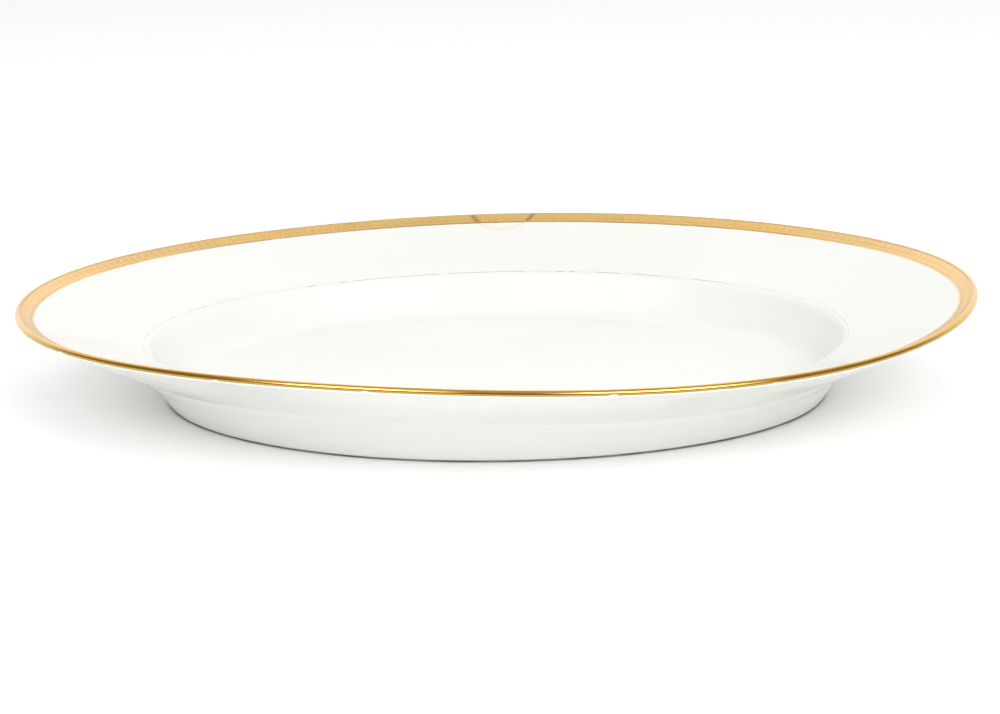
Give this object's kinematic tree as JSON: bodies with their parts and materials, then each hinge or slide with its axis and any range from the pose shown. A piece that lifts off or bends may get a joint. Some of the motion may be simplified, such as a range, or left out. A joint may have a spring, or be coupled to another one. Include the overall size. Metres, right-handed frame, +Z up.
{
  "type": "oval serving platter",
  "caption": "Oval white china serving platter with a wide flat rim, an etched gold border at the lip, a thin gold line round the well, and an unglazed foot ring.",
  "frame": {"origin": "middle of the foot ring's bearing plane, which is the bottom centre of the bounding box", "axes": "+X along the platter's length, +Y along its width, away from the viewer of the picture, +Z up"},
  "size_m": [0.406, 0.292, 0.0466],
  "materials": {
    "china_glaze": "gloss",
    "biscuit": "matte",
    "burnished_gold": "polished",
    "etched_gold": "satin"
  },
  "bodies": {
    "root": {"china_body": "china_glaze", "foot_ring": "biscuit", "burnished_gold_edge": "burnished_gold", "etched_gold_band": "etched_gold", "gold_band_inner_line": "burnished_gold", "gold_verge_line": "burnished_gold"}
  },
  "joints": []
}
